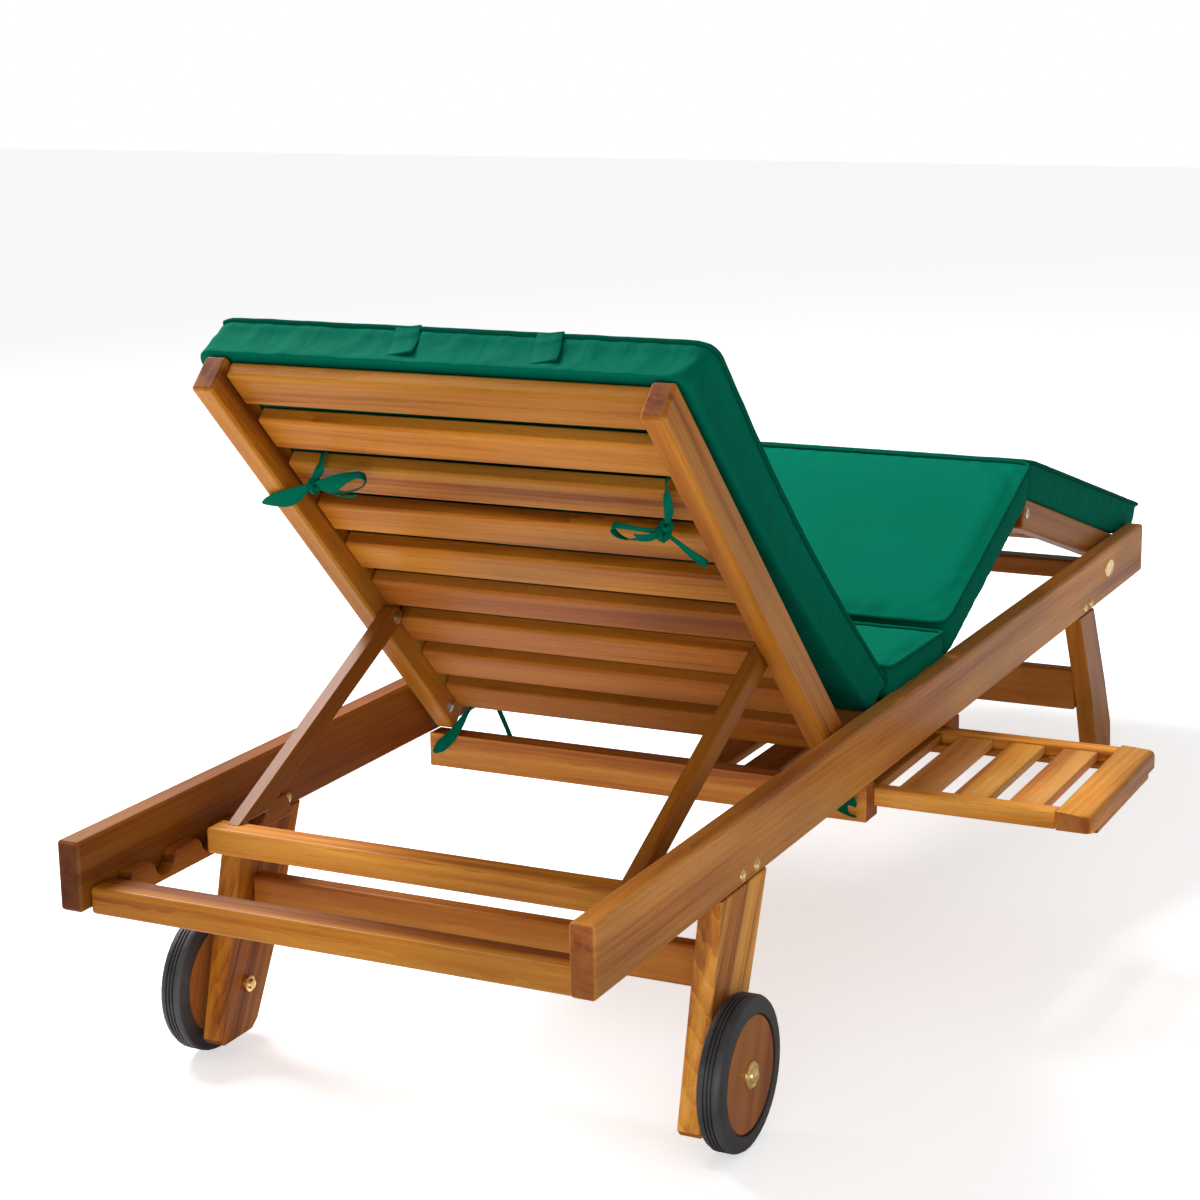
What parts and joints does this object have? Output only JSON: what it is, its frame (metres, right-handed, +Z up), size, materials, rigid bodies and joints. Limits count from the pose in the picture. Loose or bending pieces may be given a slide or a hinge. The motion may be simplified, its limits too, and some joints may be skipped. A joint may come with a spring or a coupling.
{
  "type": "reclining sun lounger",
  "caption": "Slatted hardwood sun lounger with a propped reclining backrest, raised knee, boxed cushions, wheels at the head end and a pull-out side tray.",
  "frame": {"origin": "on the ground, at the centre of the whole outline with the tray drawn out", "axes": "+X from the head end to the foot end along the bed, +Y to the left of someone lying on it, +Z up"},
  "size_m": [2.0592, 0.9334, 0.858],
  "materials": {
    "hardwood": "satin",
    "wheel_wood": "satin",
    "canvas": "matte",
    "tyre_rubber": "matte",
    "brass": "satin"
  },
  "bodies": {
    "bed": {"side_rail_left": "hardwood", "side_rail_right": "hardwood", "head_cross_rail": "hardwood", "foot_cross_rail": "hardwood", "prop_rack_left": "hardwood", "prop_rack_right": "hardwood", "head_leg_left": "hardwood", "head_leg_right": "hardwood", "foot_leg_left": "hardwood", "foot_leg_right": "hardwood", "head_leg_stretcher": "hardwood", "foot_leg_stretcher": "hardwood", "tray_runner_head": "hardwood", "tray_runner_foot": "hardwood", "seat_slat_1": "hardwood", "seat_slat_2": "hardwood", "seat_cushion": "canvas", "wheel_axle_left": "brass", "wheel_axle_right": "brass", "back_pivot_bolt_left": "brass", "back_pivot_bolt_right": "brass"},
    "backrest": {"back_stile_left": "hardwood", "back_stile_right": "hardwood", "back_slat_1": "hardwood", "back_slat_2": "hardwood", "back_slat_3": "hardwood", "back_slat_4": "hardwood", "back_slat_5": "hardwood", "back_slat_6": "hardwood", "back_slat_7": "hardwood", "back_slat_8": "hardwood", "back_slat_9": "hardwood", "back_cushion": "canvas", "prop_bolt_left": "brass", "prop_bolt_right": "brass"},
    "prop": {"prop_arm_left": "hardwood", "prop_arm_right": "hardwood", "prop_crossbar": "hardwood"},
    "thigh_panel": {"thigh_stile_left": "hardwood", "thigh_stile_right": "hardwood", "thigh_slat_1": "hardwood", "thigh_slat_2": "hardwood", "thigh_cushion": "canvas", "knee_bolt_left": "brass", "knee_bolt_right": "brass"},
    "calf_panel": {"calf_stile_left": "hardwood", "calf_stile_right": "hardwood", "calf_slat_1": "hardwood", "calf_slat_2": "hardwood", "calf_cushion": "canvas"},
    "tray": {"tray_batten_head": "hardwood", "tray_batten_foot": "hardwood", "tray_end_board": "hardwood", "tray_slat_1": "hardwood", "tray_slat_2": "hardwood", "tray_slat_3": "hardwood"},
    "wheel_left": {"tyre_left": "tyre_rubber", "wheel_disc_left": "wheel_wood"},
    "wheel_right": {"tyre_right": "tyre_rubber", "wheel_disc_right": "wheel_wood"}
  },
  "joints": [
    {"name": "backrest_recline", "type": "hinge", "parent": "bed", "child": "backrest", "pos_m": [-0.30457, 0.11125, 0.309], "axis": [0, 1, 0], "range_deg": [-44, 18]},
    {"name": "prop_swing", "type": "hinge", "parent": "backrest", "child": "prop", "pos_m": [-0.46008, 0.11125, 0.46154], "axis": [0, 1, 0], "range_deg": [-27, 66]},
    {"name": "knee_lift", "type": "hinge", "parent": "bed", "child": "thigh_panel", "pos_m": [0.06243, 0.11125, 0.314], "axis": [0, 1, 0], "range_deg": [0, 21.67]},
    {"name": "knee_fold", "type": "hinge", "parent": "thigh_panel", "child": "calf_panel", "pos_m": [0.43243, 0.11125, 0.461], "axis": [0, 1, 0], "range_deg": [-38.6, 0]},
    {"name": "tray_slide", "type": "slide", "parent": "bed", "child": "tray", "axis": [0, 1, 0], "range_m": [0, 0.222]},
    {"name": "wheel_left_spin", "type": "hinge", "parent": "bed", "child": "wheel_left", "pos_m": [-0.73757, 0.44475, 0.0845], "axis": [0, 1, 0], "continuous": true},
    {"name": "wheel_right_spin", "type": "hinge", "parent": "bed", "child": "wheel_right", "pos_m": [-0.73757, -0.22225, 0.0845], "axis": [0, 1, 0], "continuous": true}
  ],
  "couplings": [
    {"joint": "prop_swing", "follows": "backrest_recline", "ratio": -1.5},
    {"joint": "knee_fold", "follows": "knee_lift", "ratio": -1.781}
  ]
}
